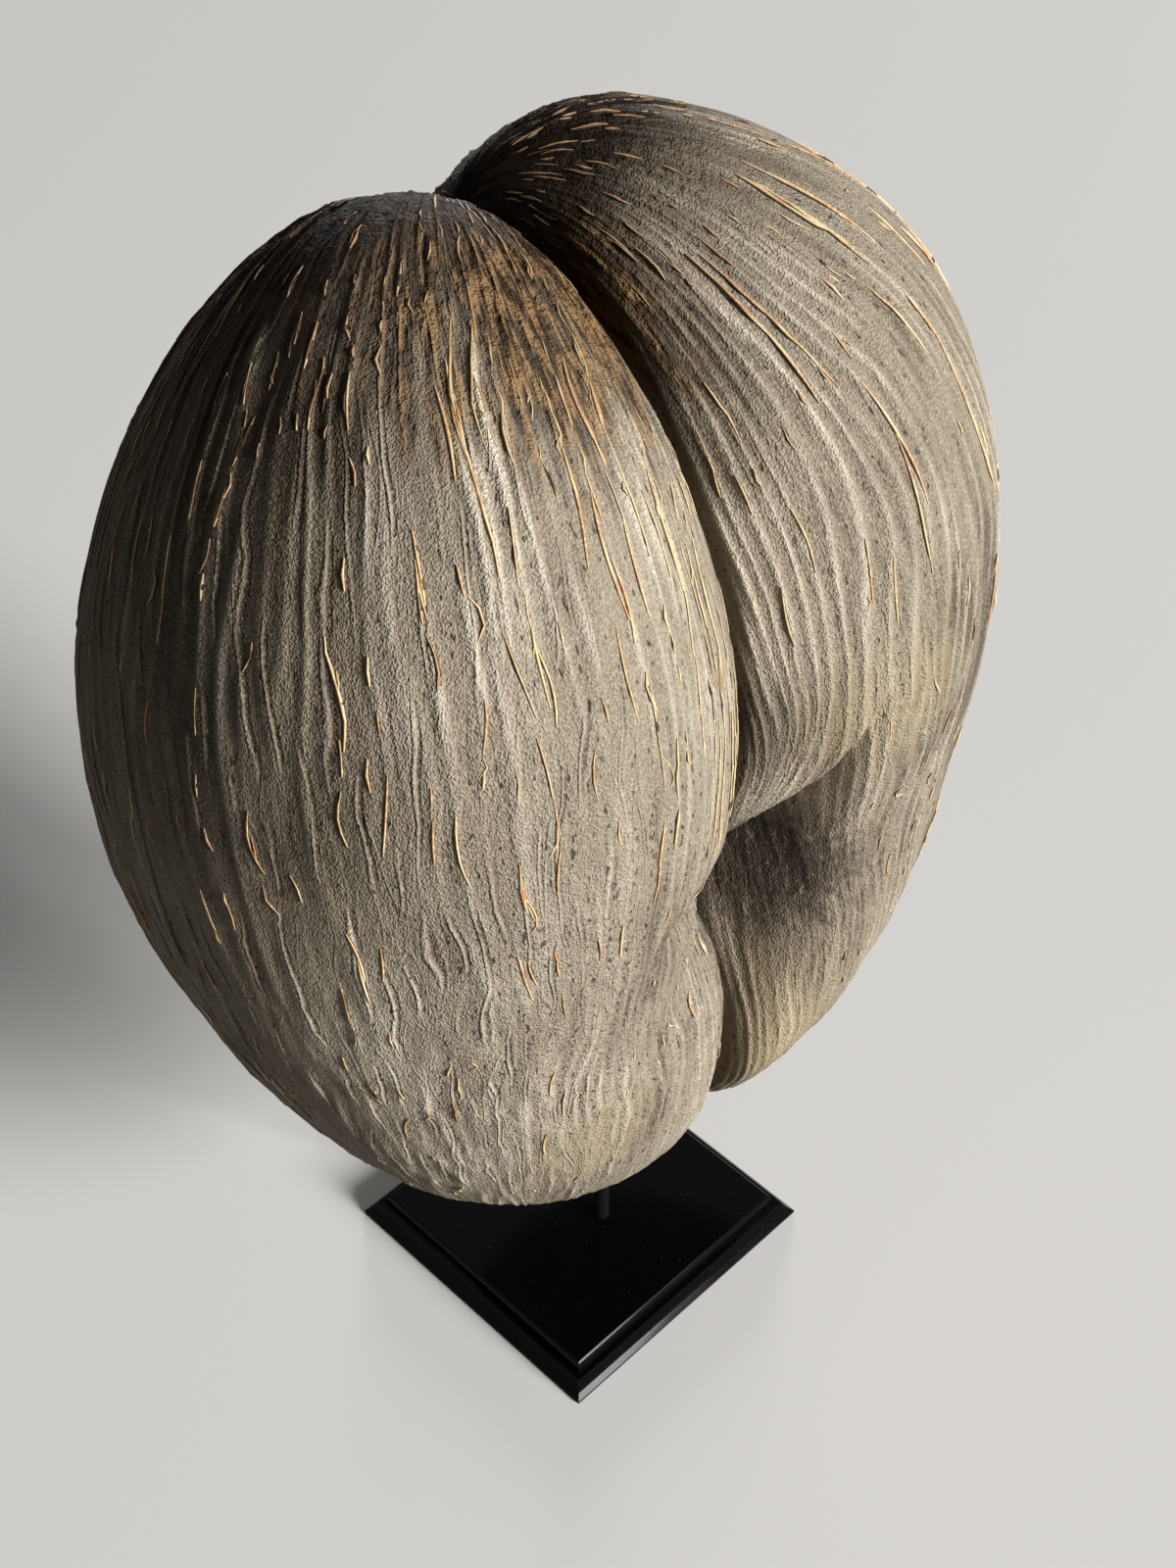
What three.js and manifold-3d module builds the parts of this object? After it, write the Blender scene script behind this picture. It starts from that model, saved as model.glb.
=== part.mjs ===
// A coco de mer nut held upright on a small display stand.
//
// Millimetres, +Z up. The origin is the middle of the stand plate's underside. The two lobes of the
// nut lie side by side along X, its deep cleft faces -Y and its broad back faces +Y.

import * as THREE from 'three';
import { mergeVertices } from 'three/addons/utils/BufferGeometryUtils.js';
import Module from 'manifold-3d';

const wasm = await Module();
wasm.setup();

// ---------------------------------------------------------------- driving dimensions

const CLEARANCE = 0.3; // between the rod and each hole that it stands in

// Square plate with a moulded edge, listed from the underside up.
const PLATE_SIDE = 100;
const PLATE_HEIGHT = 9.2;
const EDGE_HEIGHT = 1; // upright edge along the bottom
const COVE_HEIGHT = 4.6; // hollow moulding above it
const COVE_DEPTH = 3.2;
const COVE_HOLLOW = 0.4; // how far it dishes in from a straight slope
const COVE_STEPS = 6;
const LEDGE_DEPTH = 1.8; // narrow flat ledge above the moulding
const RISER_LEAN = 0.9; // the upper riser leans in by this much
const ARRIS = 0.5; // small bevel around the top face

// Straight rod, screwed into the plate by a thinner end.
const ROD_DIAMETER = 5;
const ROD_TOP = 182;
const ROD_Y = -10; // the rod stands this far in front of the middle
const SPIGOT_DIAMETER = 3.4;
const SPIGOT_LENGTH = 5.5;
const ROD_SIDES = 24;

// The nut. Each lobe is three rounded masses that run into each other, and both lobes share a fourth
// one in the middle of the back. Places are for the right lobe, at +X.
const EGG = { centre: [50, 10, 239], radii: [73, 86, 120], lean: 2, nod: 10 };
const BUTTOCK = { centre: [41, 17, 247.5], radii: [68, 74, 122], lean: -8, nod: -3 };
const THIGH = { centre: [32, -7, 147.5], radii: [61, 62.5, 92], lean: 33, nod: 10 };
const BACK = { centre: [0, 30, 232], radii: [54, 61, 80], lean: 0, nod: 0 };
const MASS_BLEND = 8.5; // how softly the upper masses run into each other
const FOLD_BLEND = { beside: 1.5, away: 10, reach: 80 }; // thigh to upper masses, by distance from x = 0

// The gap between the thighs is a tall, thin, rounded slot from front to back.
const GAP = { centre: [0, 0, 58], radii: [10.5, 240, 90] };
const GAP_BLEND = 3;

// The cleft is a narrow slit over the front and the top, down to a core where the lobes are one.
const CORE = { centre: [0, 40, 215], radii: [60, 80, 110], lean: 0, nod: 0 };
const CLEFT_WIDTH = 4;
const CLEFT_BLEND = 1.5;
const CUT_MARGIN = 0.4;
const SLAB_SIZE = 400; // taller and deeper than the nut
const BALL_MERIDIANS = 40;
const BALL_PARALLELS = 28;

// The skin of a lobe is found along straight lines from its heart. The lines crowd towards the
// cleft, and run together at the top notch and at the tip of the thigh, as the nut's fibres do.
const HEART = [42, 6, 200];
const TOP_LEAN = 0.225;
const TIP_LEAN = 0.075;
const SIDE_LEAN = 0.2;
const TIP_NOD = 0.08;
const SEARCH_STEP = 4;
const SEARCH_LIMIT = 240;
const HALVINGS = 22;
const MERIDIANS = 64;
const PARALLELS = 44;

// ---------------------------------------------------------------- materials

const matteHusk = new THREE.MeshStandardMaterial({
  color: 0x75695c,
  roughness: 0.72,
  metalness: 0,
});
const blackLacquer = new THREE.MeshStandardMaterial({
  color: 0x0a0a0b,
  roughness: 0.12,
  metalness: 0,
});
const blackSteel = new THREE.MeshStandardMaterial({
  color: 0x151517,
  roughness: 0.35,
  metalness: 0.6,
});

// ---------------------------------------------------------------- solids

function closed(geometry) {
  const bare = geometry.clone();
  bare.deleteAttribute('normal');
  bare.deleteAttribute('uv');
  return mergeVertices(bare);
}

function toSolid(geometry) {
  const shell = closed(geometry);
  const mesh = new wasm.Mesh({
    numProp: 3,
    vertProperties: new Float32Array(shell.attributes.position.array),
    triVerts: new Uint32Array(shell.index.array),
  });
  return new wasm.Manifold(mesh);
}

function toGeometry(solid) {
  const mesh = solid.getMesh();
  const geometry = new THREE.BufferGeometry();
  geometry.setAttribute('position', new THREE.BufferAttribute(mesh.vertProperties, 3));
  geometry.setIndex(new THREE.BufferAttribute(mesh.triVerts, 1));
  geometry.computeVertexNormals();
  return geometry;
}

// An upright round bar between two heights.
function uprightBar(diameter, bottom, top) {
  const bar = new THREE.CylinderGeometry(diameter / 2, diameter / 2, top - bottom, ROD_SIDES);
  bar.rotateX(Math.PI / 2);
  bar.translate(0, ROD_Y, (bottom + top) / 2);
  return bar;
}

// ---------------------------------------------------------------- nut

// A mass gives a length that is negative inside it, zero on its skin and positive outside.
function roundedMass({ centre, radii, lean, nod }) {
  const { degToRad } = THREE.MathUtils;
  const turn = new THREE.Quaternion();
  turn.setFromEuler(new THREE.Euler(degToRad(nod), degToRad(lean), 0, 'YXZ'));
  const unturn = turn.invert();
  const middle = new THREE.Vector3(...centre);
  const meanRadius = Math.cbrt(radii[0] * radii[1] * radii[2]);
  const local = new THREE.Vector3();
  return (point) => {
    local.subVectors(point, middle).applyQuaternion(unturn);
    const reach = Math.hypot(local.x / radii[0], local.y / radii[1], local.z / radii[2]);
    return (reach - 1) * meanRadius;
  };
}

// The slot gives a true length near its wall, so that its thin sides come out at the right width.
function thinSlot({ centre, radii }) {
  return (point) => {
    const x = (point.x - centre[0]) / radii[0];
    const y = (point.y - centre[1]) / radii[1];
    const z = (point.z - centre[2]) / radii[2];
    const reach = Math.hypot(x, y, z);
    const slope = Math.hypot(x / radii[0], y / radii[1], z / radii[2]);
    return (reach * (reach - 1)) / Math.max(slope, 1e-9);
  };
}

// The lowest of several lengths, rounded off where two of them are nearly equal.
function softLowest(lengths, blend) {
  const lowest = Math.min(...lengths);
  let weight = 0;
  for (const length of lengths) weight += Math.exp((lowest - length) / blend);
  return lowest - blend * Math.log(weight);
}

// The highest of several lengths, rounded off in the same way.
function softHighest(lengths, blend) {
  return -softLowest(lengths.map((length) => -length), blend);
}

const upperMasses = [EGG, BUTTOCK, BACK].map(roundedMass);
const thigh = roundedMass(THIGH);
const gap = thinSlot(GAP);
const core = roundedMass(CORE);

// The thigh meets the buttock in a tight fold beside the cleft, which opens out and fades sideways.
function foldBlend(point) {
  const away = THREE.MathUtils.smoothstep(Math.abs(point.x), 0, FOLD_BLEND.reach);
  return THREE.MathUtils.lerp(FOLD_BLEND.beside, FOLD_BLEND.away, away);
}

function lobeLength(point) {
  const upper = softLowest(upperMasses.map((mass) => mass(point)), MASS_BLEND);
  const body = softLowest([upper, thigh(point)], foldBlend(point));
  const parted = softHighest([body, -gap(point)], GAP_BLEND);
  const slit = softHighest([Math.abs(point.x) - CLEFT_WIDTH / 2, -core(point)], CLEFT_BLEND);
  return softHighest([parted, -slit], CLEFT_BLEND);
}

// Distance from the heart to the skin, along one direction.
function reachAlong(heart, direction) {
  const point = new THREE.Vector3();
  const lengthAt = (reach) => lobeLength(point.copy(heart).addScaledVector(direction, reach));
  let outside = SEARCH_STEP;
  while (outside < SEARCH_LIMIT && lengthAt(outside) < 0) outside += SEARCH_STEP;
  let inside = outside - SEARCH_STEP;
  for (let i = 0; i < HALVINGS; i += 1) {
    const middle = (inside + outside) / 2;
    if (lengthAt(middle) < 0) inside = middle;
    else outside = middle;
  }
  return (inside + outside) / 2;
}

// A ball whose points move out to the skin of the right lobe.
function rightLobe() {
  const ball = new THREE.SphereGeometry(1, MERIDIANS, PARALLELS);
  ball.rotateX(Math.PI / 2);
  const lobe = closed(ball);
  const points = lobe.attributes.position;
  const heart = new THREE.Vector3(...HEART);
  const direction = new THREE.Vector3();
  for (let i = 0; i < points.count; i += 1) {
    direction.fromBufferAttribute(points, i);
    const up = (1 + direction.z) / 2;
    const sideways = 1 - direction.z ** 2;
    direction.x -= THREE.MathUtils.lerp(TIP_LEAN, TOP_LEAN, up) + SIDE_LEAN * sideways;
    direction.y -= TIP_NOD * (1 - up);
    direction.normalize();
    const reach = reachAlong(heart, direction);
    direction.multiplyScalar(reach).add(heart);
    points.setXYZ(i, direction.x, direction.y, direction.z);
  }
  return lobe;
}

// The same lobe on the other side of the middle plane, with its faces turned outward again.
function mirrored(lobe) {
  const twin = lobe.clone();
  twin.scale(-1, 1, 1);
  const corners = twin.index.array;
  for (let i = 0; i < corners.length; i += 3) {
    [corners[i], corners[i + 1]] = [corners[i + 1], corners[i]];
  }
  return twin;
}

function ellipsoid({ centre, radii }, extra) {
  const ball = new THREE.SphereGeometry(1, BALL_MERIDIANS, BALL_PARALLELS);
  ball.rotateX(Math.PI / 2);
  ball.scale(radii[0] + extra, radii[1] + extra, radii[2] + extra);
  ball.translate(...centre);
  return toSolid(ball);
}

// The lobes already dip towards the gap and the cleft. Both are then cut clean, a little wider.
function gapCutter() {
  return ellipsoid(GAP, CUT_MARGIN);
}

function cleftCutter() {
  const slab = new THREE.BoxGeometry(CLEFT_WIDTH + 2 * CUT_MARGIN, SLAB_SIZE, SLAB_SIZE);
  slab.translate(...CORE.centre);
  return toSolid(slab).subtract(ellipsoid(CORE, -CUT_MARGIN));
}

function nutGeometry() {
  const lobe = rightLobe();
  const whole = toSolid(lobe).add(toSolid(mirrored(lobe)));
  const parted = whole.subtract(gapCutter()).subtract(cleftCutter());
  const holeBottom = GAP.centre[2];
  const hole = uprightBar(ROD_DIAMETER + 2 * CLEARANCE, holeBottom, ROD_TOP + CLEARANCE);
  return toGeometry(parted.subtract(toSolid(hole)));
}

// ---------------------------------------------------------------- stand

// Half the plate's section: distance from the middle to the side, and height.
function plateSection() {
  const half = PLATE_SIDE / 2;
  const coveTop = EDGE_HEIGHT + COVE_HEIGHT;
  const section = [
    [0, 0],
    [half, 0],
  ];
  for (let i = 0; i <= COVE_STEPS; i += 1) {
    const rise = i / COVE_STEPS;
    const hollow = COVE_HOLLOW * Math.sin(rise * Math.PI);
    section.push([half - COVE_DEPTH * rise - hollow, EDGE_HEIGHT + COVE_HEIGHT * rise]);
  }
  const riserFoot = half - COVE_DEPTH - LEDGE_DEPTH;
  section.push([riserFoot, coveTop]);
  section.push([riserFoot - RISER_LEAN, PLATE_HEIGHT - ARRIS]);
  section.push([riserFoot - RISER_LEAN - ARRIS, PLATE_HEIGHT]);
  section.push([0, PLATE_HEIGHT]);
  return section;
}

// Four turns of the section make a square plate with mitred corners.
function plateGeometry() {
  const toCorner = Math.SQRT2;
  const profile = plateSection().map(([out, up]) => new THREE.Vector2(out * toCorner, up));
  const plate = new THREE.LatheGeometry(profile, 4, Math.PI / 4);
  plate.rotateX(Math.PI / 2);
  const holeBottom = PLATE_HEIGHT - SPIGOT_LENGTH - CLEARANCE;
  const holeTop = PLATE_HEIGHT + 1;
  const hole = uprightBar(SPIGOT_DIAMETER + 2 * CLEARANCE, holeBottom, holeTop);
  return toGeometry(toSolid(plate).subtract(toSolid(hole)));
}

function rodGeometry() {
  const foot = PLATE_HEIGHT + CLEARANCE;
  const profile = [
    [0, PLATE_HEIGHT - SPIGOT_LENGTH],
    [SPIGOT_DIAMETER / 2, PLATE_HEIGHT - SPIGOT_LENGTH],
    [SPIGOT_DIAMETER / 2, foot],
    [ROD_DIAMETER / 2, foot],
    [ROD_DIAMETER / 2, ROD_TOP - 1],
    [ROD_DIAMETER / 2 - 1, ROD_TOP],
    [0, ROD_TOP],
  ];
  const points = profile.map(([out, up]) => new THREE.Vector2(out, up));
  const rod = new THREE.LatheGeometry(points, ROD_SIDES);
  rod.rotateX(Math.PI / 2);
  rod.translate(0, ROD_Y, 0);
  return closed(rod);
}

// ---------------------------------------------------------------- assembly

function piece(name, geometry, material) {
  const mesh = new THREE.Mesh(geometry, material);
  mesh.name = name;
  return mesh;
}

const cocoDeMer = new THREE.Group();
cocoDeMer.add(piece('nut', nutGeometry(), matteHusk));
cocoDeMer.add(piece('stand_plate', plateGeometry(), blackLacquer));
cocoDeMer.add(piece('stand_rod', rodGeometry(), blackSteel));

export default cocoDeMer;
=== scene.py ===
"""A coco de mer nut held upright on a small black display stand. Metres, +Z up."""

import math
import random

import bmesh
import bpy
import numpy as np
from mathutils import Matrix, Vector, noise
from mathutils.bvhtree import BVHTree


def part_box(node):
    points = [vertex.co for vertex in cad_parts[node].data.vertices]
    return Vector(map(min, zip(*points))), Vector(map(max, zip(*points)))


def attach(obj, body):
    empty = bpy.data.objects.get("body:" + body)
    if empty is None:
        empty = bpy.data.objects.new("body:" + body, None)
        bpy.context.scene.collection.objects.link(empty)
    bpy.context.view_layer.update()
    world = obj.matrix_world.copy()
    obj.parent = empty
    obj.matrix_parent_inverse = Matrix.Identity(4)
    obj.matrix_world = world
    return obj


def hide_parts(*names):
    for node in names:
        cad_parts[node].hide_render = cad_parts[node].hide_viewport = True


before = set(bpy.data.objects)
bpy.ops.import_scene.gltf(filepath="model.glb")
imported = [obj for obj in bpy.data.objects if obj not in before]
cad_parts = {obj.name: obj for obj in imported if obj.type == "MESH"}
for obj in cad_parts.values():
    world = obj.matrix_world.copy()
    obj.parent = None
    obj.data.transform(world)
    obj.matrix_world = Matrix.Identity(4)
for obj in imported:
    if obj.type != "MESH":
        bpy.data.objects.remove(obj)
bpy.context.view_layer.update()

MM = 0.001

# ------------------------------------------------------------------ the nut's own form
# Each lobe is three rounded masses that run into each other, and both lobes share a fourth one in
# the middle of the back. The values are millimetres and degrees, for the lobe at +X.

EGG = dict(centre=(50, 10, 239), radii=(73, 86, 120), lean=2, nod=10)
BUTTOCK = dict(centre=(41, 17, 247.5), radii=(68, 74, 122), lean=-8, nod=-3)
THIGH = dict(centre=(32, -7, 147.5), radii=(61, 62.5, 92), lean=33, nod=10)
BACK = dict(centre=(0, 30, 232), radii=(54, 61, 80), lean=0, nod=0)
MASS_BLEND = 8.5
FOLD_BLEND_BESIDE = 1.5
FOLD_BLEND_AWAY = 10
FOLD_REACH = 80
GAP_CENTRE = (0, 0, 58)
GAP_RADII = (10.5, 240, 90)
GAP_BLEND = 3
CORE = dict(centre=(0, 40, 215), radii=(60, 80, 110), lean=0, nod=0)
CLEFT_WIDTH = 1.5
NOTCH_FOOT = 328  # above this the cleft widens into the top notch
NOTCH_FLARE = 0.07
CLEFT_BLEND = 1.5

# The crease under each buttock climbs outwards from the cleft at an even slope, and then curls up.
# The skin above rolls in towards it, and below it lies a pocket that fades away downwards and
# outwards. The lobes differ here. Climb is a slope, turn is how far the fibres swing, in radians,
# and the rest are millimetres.
CREASES = {
    1: dict(
        foot=184, climb=1.8, curl=5, roll=34, rim=12, pocket=29, fade=48, reach=(3, 37), turn=0.2
    ),
    -1: dict(
        foot=207, climb=0.4, curl=0, roll=15, rim=9, pocket=13, fade=16, reach=(8, 50), turn=0.1
    ),
}
CURL_PLACE = 28  # the curl is measured this far from the middle, and goes on a little further
CURL_END = 1.3 * CURL_PLACE
CREASE_INWARD = (0.35, 0.9, 0.25)  # the way the skin is drawn in there, for the lobe at +X

# The mesh is finer in a band along each crease: this near to it, in front of this y and out from
# this x. Each edge there that runs down the lobe gets this many cuts.
CREASE_BAND = 12
BAND_BACK = -20
BAND_INNER = 3
BAND_CUTS = 3
LEVEL = 0.002  # an edge whose ends differ by less of the way down runs around the lobe

# The skin is found along straight lines from the heart of the lobe. They run together at the top
# notch and at the thigh's tip, as the nut's fibres do.
HEART = (42, 6, 200)
TOP_LEAN = (0.257, -0.243)
TIP_LEAN = (0.149, 0.104)
SIDE_LEAN = 0.15
OUTWARD_CROWDING = 0.25  # the mesh's meridians are this much closer on the outer flank
MERIDIANS = 600
PARALLELS = 104
SEARCH_STEP = 2.0
HALVINGS = 14
SKIN_INSET = 1.0  # the resting skin lies this far inside, to leave room for ridges and fibres

# Grain coordinates follow the fibres: the first two go around the lobe, and the third goes from the
# top notch to the tip.
GRAIN_RADIUS = 75
GRAIN_LENGTH = 420
OTHER_LOBE = 1000  # added along the third, so that the two lobes differ
RIDGE_LINES = {1: 128, -1: 116}  # around the right lobe and the left one
FORKING = 1.23  # a second set of ridges has this many times as many lines
WRINKLE_LINES = 150
WRINKLE_SPACING = math.tau * GRAIN_RADIUS / WRINKLE_LINES

# Heights of the relief, in millimetres.
RIDGE_HEIGHT = 0.72
WRINKLE_HEIGHT = 0.3
WRINKLE_LEAN = 0.4  # a long wrinkle stands higher on one side than on the other
WRINKLE_WIDTH = 1.2
SHORT_WRINKLE_HEIGHT = 0.28
BROAD_WAVE_HEIGHT = 0.70
NARROW_WAVE_HEIGHT = 0.50
LIP_LINE_HEIGHT = 0.16
LUMP_HEIGHT = 0.8  # of the crust by the notch
CRUMB_HEIGHT = 0.5
DENT_DEPTH = 0.5
SMALL_DENT_DEPTH = 0.25

SEAM_WIDTH = 0.02  # vertices this near to the middle plane are set on it
MERGE_LENGTH = 0.001


def rounded_mass(centre, radii, lean, nod):
    """Length in millimetres from a mass's skin, negative inside it."""
    turn = Matrix.Rotation(math.radians(lean), 3, "Y") @ Matrix.Rotation(math.radians(nod), 3, "X")
    turn = np.array(turn)
    mean_radius = np.prod(radii) ** (1 / 3)

    def length(points):
        local = (points - np.array(centre)) @ turn / np.array(radii)
        return (np.linalg.norm(local, axis=-1) - 1) * mean_radius

    return length


def thin_slot(points):
    """Length from the wall of the gap between the thighs, negative inside the gap."""
    local = (points - np.array(GAP_CENTRE)) / np.array(GAP_RADII)
    reach = np.linalg.norm(local, axis=-1)
    slope = np.linalg.norm(local / np.array(GAP_RADII), axis=-1)
    return reach * (reach - 1) / np.maximum(slope, 1e-9)


def soft_lowest(lengths, blend):
    """The lowest of the lengths, rounded where two of them meet, so masses run together."""
    stack = np.stack(lengths)
    lowest = stack.min(axis=0)
    return lowest - blend * np.log(np.exp((lowest - stack) / blend).sum(axis=0))


def soft_highest(lengths, blend):
    """The highest of the lengths, rounded where two of them meet."""
    return -soft_lowest([-length for length in lengths], blend)


def smooth_step(value, low, high):
    """0 at low and 1 at high, smooth between, for arrays."""
    share = np.clip((value - low) / (high - low), 0, 1)
    return share * share * (3 - 2 * share)


UPPER_MASSES = [rounded_mass(**mass) for mass in (EGG, BUTTOCK, BACK)]
THIGH_MASS = rounded_mass(**THIGH)
CORE_MASS = rounded_mass(**CORE)


def lobe_length(points):
    """Length from the skin of the right lobe, negative inside it."""
    upper = soft_lowest([mass(points) for mass in UPPER_MASSES], MASS_BLEND)
    away = smooth_step(np.abs(points[..., 0]), 0, FOLD_REACH)
    fold = FOLD_BLEND_BESIDE + (FOLD_BLEND_AWAY - FOLD_BLEND_BESIDE) * away
    body = soft_lowest([upper, THIGH_MASS(points)], fold)
    parted = soft_highest([body, -thin_slot(points)], GAP_BLEND)
    flare = NOTCH_FLARE * np.maximum(points[..., 2] - NOTCH_FOOT, 0)
    slab = np.abs(points[..., 0]) - CLEFT_WIDTH / 2 - flare
    slit = soft_highest([slab, -CORE_MASS(points)], CLEFT_BLEND)
    return soft_highest([parted, -slit], CLEFT_BLEND)


def skin_points(ball):
    """Moves directions on a unit ball out to the skin of the right lobe."""
    up = (1 + ball[:, 2]) / 2
    top, tip = np.array(TOP_LEAN), np.array(TIP_LEAN)
    lean = tip + (top - tip) * up[:, None]
    lean[:, 0] += SIDE_LEAN * (1 - ball[:, 2] ** 2)
    direction = ball.copy()
    direction[:, :2] -= lean
    direction /= np.linalg.norm(direction, axis=1)[:, None]
    heart = np.array(HEART, float)
    inside = np.zeros(len(ball))
    searching = np.ones(len(ball), bool)
    while searching.any():
        ahead = heart + direction * (inside + SEARCH_STEP)[:, None]
        searching &= lobe_length(ahead) < -SKIN_INSET
        inside[searching] += SEARCH_STEP
    outside = inside + SEARCH_STEP
    for _ in range(HALVINGS):
        middle = (inside + outside) / 2
        within = lobe_length(heart + direction * middle[:, None]) < -SKIN_INSET
        inside = np.where(within, middle, inside)
        outside = np.where(within, outside, middle)
    return heart + direction * ((inside + outside) / 2)[:, None]


def skin_normals(points):
    """Outward directions of the right lobe's resting skin."""
    slope = np.empty_like(points)
    for axis in range(3):
        step = np.zeros(3)
        step[axis] = 0.5
        slope[:, axis] = lobe_length(points + step) - lobe_length(points - step)
    return slope / np.linalg.norm(slope, axis=1)[:, None]


def grain_place(angle, down, side):
    """Grain coordinates from the angle around the lobe and the share of the way down."""
    shift = OTHER_LOBE if side < 0 else 0
    return Vector(
        (
            GRAIN_RADIUS * math.cos(angle),
            GRAIN_RADIUS * math.sin(angle),
            GRAIN_LENGTH * down + shift,
        )
    )


# ------------------------------------------------------------------ ridges and folds of the husk


def waves(grain, width, length, shift=0.0):
    """Smooth noise of about -1 to 1, with waves of that width across the fibres and that length."""
    return noise.noise((grain[0] / width + shift, grain[1] / width - shift, grain[2] / length))


def ease(value, low, high):
    """0 at low and 1 at high, smooth between, for one number."""
    share = min(max((value - low) / (high - low), 0.0), 1.0)
    return share * share * (3 - 2 * share)


def ridge_phases(grain, angle, side):
    """Counts ridges around the lobe, in two sets that drift and swap places to make forks."""
    drift = 1.5 * waves(grain, 36, 70) + 0.55 * waves(grain, 13, 27, 4.0)
    drift += 0.45 * waves(grain, 5.5, 45, 8.0)
    turns = RIDGE_LINES[side] * angle / math.tau
    first = turns + drift
    second = turns * FORKING + 1.1 * drift + 0.4 * waves(grain, 9, 30, 12.0)
    share = ease(waves(grain, 15, 55, 16.0), -0.12, 0.12)
    return first, second, share


def crest(phase):
    """1 on the top of a ridge and 0 in the groove, with the groove wider than the ridge."""
    return (0.5 + 0.5 * math.cos(math.tau * phase)) ** 3


def below_crease(point, side):
    """Millimetres below the crease, negative above it."""
    crease = CREASES[side]
    aside = min(abs(point[0]), CURL_END)
    curl = crease["curl"] * (aside / CURL_PLACE) ** 5
    height = crease["foot"] + crease["climb"] * aside + curl
    slope = crease["climb"] + 5 * curl / max(aside, 0.1)
    return (height - point[2]) / math.hypot(1, slope)


def crease_reach(point, side):
    """1 beside the cleft and 0 where the crease has died away, outwards or towards the back."""
    return (1 - ease(abs(point[0]), *CREASES[side]["reach"])) * ease(-point[1], 0, 45)


def crease_roll(point, side):
    """0 well above the crease and 1 at it, as the skin turns in."""
    return min(max(1 + below_crease(point, side) / CREASES[side]["roll"], 0.0), 1.0)


def crease_move(point, side):
    """How the skin is drawn in along the crease and below it, in millimetres."""
    crease = CREASES[side]
    below = below_crease(point, side)
    depth = crease["rim"] * (1 - math.sqrt(1 - crease_roll(point, side) ** 2))
    depth += (crease["pocket"] - crease["rim"]) * ease(below, 0, 1.5)
    depth *= (1 - ease(below, 2, crease["fade"])) * crease_reach(point, side)
    inward = Vector((side * CREASE_INWARD[0], *CREASE_INWARD[1:])).normalized()
    return inward * depth


def crease_turn(point, side):
    """How far around the lobe the fibres swing as they meet the crease, in radians."""
    if below_crease(point, side) > 0:
        return 0.0
    return CREASES[side]["turn"] * crease_roll(point, side) ** 3 * crease_reach(point, side)


def lip_share(point):
    """1 on the lips of the deep cleft, in front."""
    return (1 - ease(abs(point[0]), 7, 26)) * (1 - ease(point[1], -35, 5))


def wrinkle_count(grain, angle):
    """Counts the long wrinkles around the lobe; one runs wherever this is a whole number."""
    drift = 0.9 * waves(grain, 24, 60, 36.0) + 0.6 * waves(grain, 9, 22, 40.0)
    return WRINKLE_LINES * angle / math.tau + drift + 0.28 * waves(grain, 4, 9, 44.0)


def wrinkle_strength(count, down, point, side):
    """Each wrinkle comes and goes along its length; most are on the left lobe's flank."""
    strength = ease(noise.noise((round(count) * 5.37, GRAIN_LENGTH * down / 19, side)), -0.1, 0.3)
    strength *= ease(1 - down, 0.15, 0.38)
    return strength * (0.45 + 0.55 * ease(abs(point[0]), 30, 80) if side < 0 else 0.25)


def ridge_strength(grain, point, side):
    """How high the ridges stand there, about 1 at most."""
    strength = 0.12 + 0.88 * ease(waves(grain, 5.5, 50, 20.0), -0.22, 0.28)
    strength *= 0.75 + 0.5 * waves(grain, 40, 70, 24.0)
    if side > 0:
        strength = max(strength, 0.65 * (1 - ease(abs(point[0]), 20, 70)))
        strength *= 1.3
        strength *= 1 - 0.7 * inner_thigh(point)
        strength *= 0.6 + 0.4 * ease(point[2], 160, 230)
    else:
        strength *= 0.7 + 0.5 * ease(point[2], 270, 335)
    return min(max(strength, 0.0), 1.3)


def inner_thigh(point):
    """1 on the hollow inner side of the thigh, below the crease."""
    return (1 - ease(abs(point[0]), 22, 48)) * (1 - ease(abs(point[2] - 185), 20, 50))


def end_fade(down):
    """The ridges die away at both ends, where the fibres run together."""
    return ease(down, 0.02, 0.10) * ease(1 - down, 0.02, 0.10)


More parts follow.
